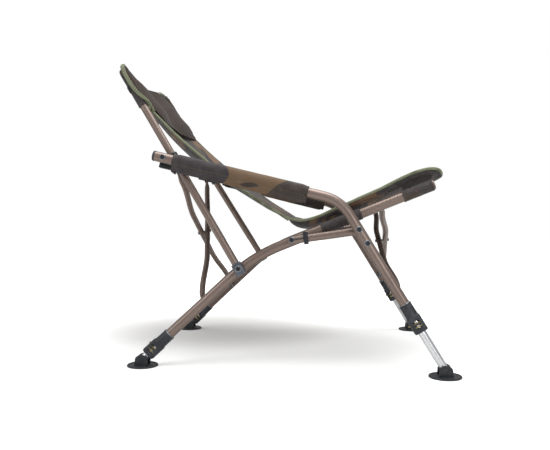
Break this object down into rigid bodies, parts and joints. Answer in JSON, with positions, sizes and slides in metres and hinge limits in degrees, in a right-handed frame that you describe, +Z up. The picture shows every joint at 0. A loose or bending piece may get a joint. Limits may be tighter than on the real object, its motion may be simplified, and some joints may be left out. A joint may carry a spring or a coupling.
{
  "type": "folding carp fishing chair",
  "caption": "Low folding bank chair with a slung padded seat and back, padded armrests, telescopic legs with lever locks, and swivelling mud feet.",
  "frame": {"origin": "centre of the footprint's bounding box, on the ground", "axes": "+X the way the sitter faces, +Y to the sitter's left, +Z up"},
  "size_m": [0.8554, 0.7196, 0.762],
  "materials": {
    "bronze_paint": "satin metallic",
    "bright_alloy": "polished",
    "dark_moulding": "satin",
    "foot_moulding": "matte",
    "plated_steel": "satin",
    "brass_steel": "satin",
    "camo_cloth": "woven matte",
    "soft_cloth": "brushed matte"
  },
  "bodies": {
    "right_frame": {"right_rear_leg_rail": "bronze_paint", "right_rear_clamp": "dark_moulding", "right_rail_sleeves": "camo_cloth", "seat_cushion": "camo_cloth"},
    "left_frame": {"left_rear_leg_rail": "bronze_paint", "left_rear_clamp": "dark_moulding", "left_rail_sleeves": "camo_cloth"},
    "back_sling": {"back_panel": "camo_cloth"},
    "right_back": {"right_back_tube": "bronze_paint", "right_back_bracket": "plated_steel", "right_back_pocket": "camo_cloth", "head_cushion": "soft_cloth"},
    "left_back": {"left_back_tube": "bronze_paint", "left_back_bracket": "plated_steel", "left_back_pocket": "camo_cloth"},
    "right_collar": {"right_back_collar": "dark_moulding"},
    "left_collar": {"left_back_collar": "dark_moulding"},
    "right_link": {"right_side_link": "bronze_paint", "right_link_bolt": "plated_steel"},
    "left_link": {"left_side_link": "bronze_paint", "left_link_bolt": "plated_steel"},
    "right_clip": {"right_fold_clip": "dark_moulding"},
    "left_clip": {"left_fold_clip": "dark_moulding"},
    "right_arm": {"right_arm_front_leg": "bronze_paint", "right_arm_end_cap": "dark_moulding", "right_upper_leg_bolt": "dark_moulding", "right_lower_leg_bolt": "dark_moulding", "right_arm_bolt": "dark_moulding", "right_arm_pad": "camo_cloth", "right_front_clamp": "dark_moulding", "right_leg_bracket": "plated_steel"},
    "left_arm": {"left_arm_front_leg": "bronze_paint", "left_arm_end_cap": "dark_moulding", "left_upper_leg_bolt": "dark_moulding", "left_lower_leg_bolt": "dark_moulding", "left_arm_bolt": "dark_moulding", "left_arm_pad": "camo_cloth", "left_front_clamp": "dark_moulding", "left_leg_bracket": "plated_steel"},
    "right_rear_swivel": {"right_rear_brace_bracket": "plated_steel"},
    "left_rear_swivel": {"left_rear_brace_bracket": "plated_steel"},
    "right_rear_cross": {"right_rear_brace": "bronze_paint"},
    "left_rear_cross": {"left_rear_brace": "bronze_paint"},
    "right_front_swivel": {"right_front_brace_bracket": "plated_steel"},
    "left_front_swivel": {"left_front_brace_bracket": "plated_steel"},
    "right_front_cross": {"right_front_brace": "bronze_paint"},
    "left_front_cross": {"left_front_brace": "bronze_paint"},
    "right_rear_leg": {"right_rear_inner_leg": "bright_alloy"},
    "left_rear_leg": {"left_rear_inner_leg": "bright_alloy"},
    "right_front_leg": {"right_front_inner_leg": "bright_alloy"},
    "left_front_leg": {"left_front_inner_leg": "bright_alloy"},
    "right_rear_shoe": {"right_rear_foot": "foot_moulding"},
    "left_rear_shoe": {"left_rear_foot": "foot_moulding"},
    "right_front_shoe": {"right_front_foot": "foot_moulding"},
    "left_front_shoe": {"left_front_foot": "foot_moulding"},
    "right_rear_lock": {"right_rear_lock_plates": "brass_steel"},
    "left_rear_lock": {"left_rear_lock_plates": "brass_steel"},
    "right_front_lock": {"right_front_lock_plates": "brass_steel"},
    "left_front_lock": {"left_front_lock_plates": "brass_steel"}
  },
  "joints": [
    {"name": "fold", "type": "slide", "parent": "right_frame", "child": "left_frame", "axis": [0, -1, 0], "range_m": [0, 0.13], "deforming": ["seat_cushion", "back_panel", "head_cushion"]},
    {"name": "back_sling_fold", "type": "hinge", "parent": "right_frame", "child": "back_sling", "pos_m": [0.01521, 0, 0.366], "axis": [0, 1, 0], "range_deg": [0, 38.9]},
    {"name": "right_back_fold", "type": "hinge", "parent": "right_frame", "child": "right_back", "pos_m": [-0.09874, -0.27177, 0.24177], "axis": [0, 0.9942, -0.108], "range_deg": [0, 32.8]},
    {"name": "left_back_fold", "type": "hinge", "parent": "left_frame", "child": "left_back", "pos_m": [-0.09874, 0.27177, 0.24177], "axis": [0, 0.9942, 0.108], "range_deg": [0, 32.8]},
    {"name": "right_collar_slide", "type": "slide", "parent": "right_back", "child": "right_collar", "axis": [-0.521, 0.0922, 0.8486], "range_m": [0, 0.0776]},
    {"name": "left_collar_slide", "type": "slide", "parent": "left_back", "child": "left_collar", "axis": [-0.521, -0.0922, 0.8486], "range_m": [0, 0.0776]},
    {"name": "right_link_fold", "type": "hinge", "parent": "right_frame", "child": "right_link", "pos_m": [0.03019, -0.26411, 0.31226], "axis": [0, 0.9942, -0.108], "range_deg": [0, 44.4]},
    {"name": "left_link_fold", "type": "hinge", "parent": "left_frame", "child": "left_link", "pos_m": [0.03019, 0.26411, 0.31226], "axis": [0, 0.9942, 0.108], "range_deg": [0, 44.4]},
    {"name": "right_arm_fold", "type": "hinge", "parent": "right_link", "child": "right_arm", "pos_m": [0.19195, -0.27411, 0.33738], "axis": [0, 0.9942, -0.108], "range_deg": [-6.7, 0]},
    {"name": "left_arm_fold", "type": "hinge", "parent": "left_link", "child": "left_arm", "pos_m": [0.19195, 0.27411, 0.33738], "axis": [0, 0.9942, 0.108], "range_deg": [-6.7, 0]},
    {"name": "right_clip_lift", "type": "hinge", "parent": "right_link", "child": "right_clip", "pos_m": [0.03019, -0.26411, 0.31226], "axis": [0, 0.9942, -0.108], "range_deg": [-55, 0]},
    {"name": "left_clip_lift", "type": "hinge", "parent": "left_link", "child": "left_clip", "pos_m": [0.03019, 0.26411, 0.31226], "axis": [0, 0.9942, 0.108], "range_deg": [-55, 0]},
    {"name": "right_rear_bracket_turn", "type": "hinge", "parent": "right_frame", "child": "right_rear_swivel", "pos_m": [-0.19339, -0.23232, 0.14936], "axis": [0, 0.9942, -0.108], "range_deg": [0, 23.7]},
    {"name": "left_rear_bracket_turn", "type": "hinge", "parent": "left_frame", "child": "left_rear_swivel", "pos_m": [-0.19339, 0.23232, 0.14936], "axis": [0, 0.9942, 0.108], "range_deg": [0, 23.7]},
    {"name": "right_rear_brace_fold", "type": "hinge", "parent": "right_rear_swivel", "child": "right_rear_cross", "pos_m": [-0.19339, -0.23232, 0.14936], "axis": [0.9724, 0, 0.2334], "range_deg": [0, 20]},
    {"name": "left_rear_brace_fold", "type": "hinge", "parent": "left_rear_swivel", "child": "left_rear_cross", "pos_m": [-0.19339, 0.23232, 0.14936], "axis": [-0.9724, 0, -0.2334], "range_deg": [0, 20]},
    {"name": "right_front_bracket_turn", "type": "hinge", "parent": "right_frame", "child": "right_front_swivel", "pos_m": [0.25749, -0.20518, 0.39916], "axis": [0, 0.9942, -0.108], "range_deg": [0, 25]},
    {"name": "left_front_bracket_turn", "type": "hinge", "parent": "left_frame", "child": "left_front_swivel", "pos_m": [0.25749, 0.20518, 0.39916], "axis": [0, 0.9942, 0.108], "range_deg": [0, 25]},
    {"name": "right_front_brace_fold", "type": "hinge", "parent": "right_front_swivel", "child": "right_front_cross", "pos_m": [0.25749, -0.20518, 0.39916], "axis": [-0.9919, 0, -0.1271], "range_deg": [0, 21.8]},
    {"name": "left_front_brace_fold", "type": "hinge", "parent": "left_front_swivel", "child": "left_front_cross", "pos_m": [0.25749, 0.20518, 0.39916], "axis": [0.9919, 0, 0.1271], "range_deg": [0, 21.8]},
    {"name": "right_rear_leg_slide", "type": "slide", "parent": "right_frame", "child": "right_rear_leg", "axis": [-0.7278, -0.0741, -0.6818], "range_m": [0, 0.12]},
    {"name": "left_rear_leg_slide", "type": "slide", "parent": "left_frame", "child": "left_rear_leg", "axis": [-0.7278, 0.0741, -0.6818], "range_m": [0, 0.12]},
    {"name": "right_front_leg_slide", "type": "slide", "parent": "right_arm", "child": "right_front_leg", "axis": [0.521, -0.0922, -0.8486], "range_m": [-0.08, 0.08]},
    {"name": "left_front_leg_slide", "type": "slide", "parent": "left_arm", "child": "left_front_leg", "axis": [0.521, 0.0922, -0.8486], "range_m": [-0.08, 0.08]},
    {"name": "right_rear_foot_tilt", "type": "hinge", "parent": "right_rear_leg", "child": "right_rear_shoe", "pos_m": [-0.33777, -0.27365, 0.017], "axis": [0, 1, 0], "range_deg": [-20, 20]},
    {"name": "left_rear_foot_tilt", "type": "hinge", "parent": "left_rear_leg", "child": "left_rear_shoe", "pos_m": [-0.33777, 0.27365, 0.017], "axis": [0, 1, 0], "range_deg": [-20, 20]},
    {"name": "right_front_foot_tilt", "type": "hinge", "parent": "right_front_leg", "child": "right_front_shoe", "pos_m": [0.3895, -0.32163, 0.017], "axis": [0, 1, 0], "range_deg": [-20, 20]},
    {"name": "left_front_foot_tilt", "type": "hinge", "parent": "left_front_leg", "child": "left_front_shoe", "pos_m": [0.3895, 0.32163, 0.017], "axis": [0, 1, 0], "range_deg": [-20, 20]},
    {"name": "right_rear_lock_press", "type": "hinge", "parent": "right_frame", "child": "right_rear_lock", "pos_m": [-0.30234, -0.27183, 0.0338], "axis": [0, 0.9942, -0.108], "range_deg": [0, 3], "stiffness_Nm_per_rad": 2},
    {"name": "left_rear_lock_press", "type": "hinge", "parent": "left_frame", "child": "left_rear_lock", "pos_m": [-0.30234, 0.27183, 0.0338], "axis": [0, 0.9942, 0.108], "range_deg": [0, 3], "stiffness_Nm_per_rad": 2},
    {"name": "right_front_lock_press", "type": "hinge", "parent": "right_arm", "child": "right_front_lock", "pos_m": [0.33662, -0.30979, 0.12603], "axis": [0, 0.9942, -0.108], "range_deg": [0, 3], "stiffness_Nm_per_rad": 2},
    {"name": "left_front_lock_press", "type": "hinge", "parent": "left_arm", "child": "left_front_lock", "pos_m": [0.33662, 0.30979, 0.12603], "axis": [0, 0.9942, 0.108], "range_deg": [0, 3], "stiffness_Nm_per_rad": 2}
  ],
  "couplings": [
    {"joint": "back_sling_fold", "follows": "fold", "rad_per_m": 5.209},
    {"joint": "right_back_fold", "follows": "fold", "rad_per_m": 4.398},
    {"joint": "left_back_fold", "follows": "fold", "rad_per_m": 4.398},
    {"joint": "right_collar_slide", "follows": "fold", "ratio": 0.5963},
    {"joint": "left_collar_slide", "follows": "fold", "ratio": 0.5963},
    {"joint": "right_link_fold", "follows": "fold", "rad_per_m": 5.948},
    {"joint": "left_link_fold", "follows": "fold", "rad_per_m": 5.948},
    {"joint": "right_arm_fold", "follows": "fold", "rad_per_m": -0.886},
    {"joint": "left_arm_fold", "follows": "fold", "rad_per_m": -0.886},
    {"joint": "right_rear_bracket_turn", "follows": "fold", "rad_per_m": 3.175},
    {"joint": "left_rear_bracket_turn", "follows": "fold", "rad_per_m": 3.175},
    {"joint": "right_rear_brace_fold", "follows": "fold", "rad_per_m": 2.674},
    {"joint": "left_rear_brace_fold", "follows": "fold", "rad_per_m": 2.674},
    {"joint": "right_front_bracket_turn", "follows": "fold", "rad_per_m": 3.35},
    {"joint": "left_front_bracket_turn", "follows": "fold", "rad_per_m": 3.35},
    {"joint": "right_front_brace_fold", "follows": "fold", "rad_per_m": 2.917},
    {"joint": "left_front_brace_fold", "follows": "fold", "rad_per_m": 2.917}
  ]
}
